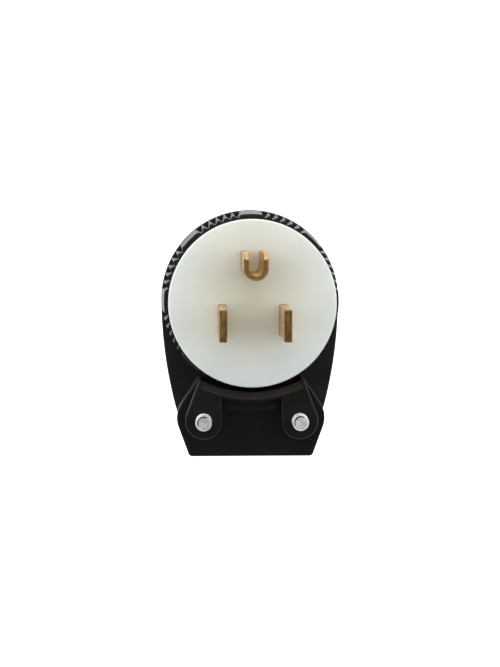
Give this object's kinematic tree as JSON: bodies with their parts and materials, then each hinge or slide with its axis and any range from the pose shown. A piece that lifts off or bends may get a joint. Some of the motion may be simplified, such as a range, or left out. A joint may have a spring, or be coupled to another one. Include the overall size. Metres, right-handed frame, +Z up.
{
  "type": "right-angle grounded plug",
  "caption": "Rewireable right-angle power plug with two flat blades and a U-shaped ground pin, an indexing face and a screw-down cord clamp.",
  "frame": {"origin": "centre of the white face's front plane, which meets the outlet", "axes": "-Y along the prongs, towards the outlet; +Z up, towards the ground pin and away from the cord; +X to the right of the prongs' viewer"},
  "size_m": [0.0388, 0.0566, 0.0531],
  "materials": {
    "black_nylon": "moulded satin",
    "ring_nylon": "moulded satin, grooved",
    "clamp_nylon": "moulded satin",
    "white_nylon": "smooth, slightly translucent",
    "phenolic": "matte moulded",
    "prong_brass": "stamped, lightly tumbled",
    "screw_brass": "bright",
    "screw_zinc": "bright zinc plate",
    "screw_green": "green dyed plating"
  },
  "bodies": {
    "housing": {"housing": "black_nylon", "pivot_washer": "screw_zinc", "clamp_washers": "screw_zinc"},
    "plug_core": {"face_body": "white_nylon", "index_ring": "ring_nylon", "terminal_block": "phenolic", "line_blade": "prong_brass", "neutral_blade": "prong_brass", "ground_pin": "prong_brass", "core_screws": "screw_zinc", "pivot_insert": "screw_brass", "pivot_screw": "screw_zinc", "pivot_lock_washer": "screw_zinc"},
    "cord_clamp": {"cord_clamp": "clamp_nylon", "clamp_nut_left": "screw_zinc", "clamp_nut_right": "screw_zinc"},
    "clamp_screw_left": {"clamp_screw_left": "screw_zinc"},
    "clamp_screw_right": {"clamp_screw_right": "screw_zinc"},
    "line_plate": {"line_wire_plate": "screw_brass"},
    "line_screw": {"line_terminal_screw": "screw_brass"},
    "neutral_plate": {"neutral_wire_plate": "screw_zinc"},
    "neutral_screw": {"neutral_terminal_screw": "screw_zinc"},
    "ground_plate": {"ground_wire_plate": "screw_zinc"},
    "ground_screw": {"ground_terminal_screw": "screw_green"}
  },
  "joints": [
    {"name": "face_index", "type": "hinge", "parent": "housing", "child": "plug_core", "pos_m": [0, 0, 0], "axis": [0, 1, 0], "range_deg": [-180, 180]},
    {"name": "left_screw_turn", "type": "hinge", "parent": "housing", "child": "clamp_screw_left", "pos_m": [-0.0102, 0.015, -0.0252], "axis": [0, 1, 0], "range_deg": [0, 1440]},
    {"name": "right_screw_turn", "type": "hinge", "parent": "housing", "child": "clamp_screw_right", "pos_m": [0.0102, 0.015, -0.0252], "axis": [0, 1, 0], "range_deg": [0, 1440]},
    {"name": "clamp_slide", "type": "slide", "parent": "housing", "child": "cord_clamp", "axis": [0, -1, 0], "range_m": [0, 0.00317]},
    {"name": "line_plate_lift", "type": "slide", "parent": "plug_core", "child": "line_plate", "axis": [-1, 0, 0], "range_m": [0, 0.00159]},
    {"name": "line_screw_turn", "type": "hinge", "parent": "line_plate", "child": "line_screw", "pos_m": [-0.00714, 0.0238, -0.0034], "axis": [-1, 0, 0], "range_deg": [0, 720]},
    {"name": "neutral_plate_lift", "type": "slide", "parent": "plug_core", "child": "neutral_plate", "axis": [1, 0, 0], "range_m": [0, 0.00159]},
    {"name": "neutral_screw_turn", "type": "hinge", "parent": "neutral_plate", "child": "neutral_screw", "pos_m": [0.00714, 0.0238, -0.0034], "axis": [1, 0, 0], "range_deg": [0, 720]},
    {"name": "ground_plate_lift", "type": "slide", "parent": "plug_core", "child": "ground_plate", "axis": [0, 0, 1], "range_m": [0, 0.00159]},
    {"name": "ground_screw_turn", "type": "hinge", "parent": "ground_plate", "child": "ground_screw", "pos_m": [0, 0.0238, 0.00646], "axis": [0, 0, 1], "range_deg": [0, 720]}
  ],
  "couplings": [
    {"joint": "left_screw_turn", "follows": "clamp_slide", "rad_per_m": 7915},
    {"joint": "right_screw_turn", "follows": "clamp_slide", "rad_per_m": 7915},
    {"joint": "line_screw_turn", "follows": "line_plate_lift", "rad_per_m": 7915},
    {"joint": "neutral_screw_turn", "follows": "neutral_plate_lift", "rad_per_m": 7915},
    {"joint": "ground_screw_turn", "follows": "ground_plate_lift", "rad_per_m": 7915}
  ]
}
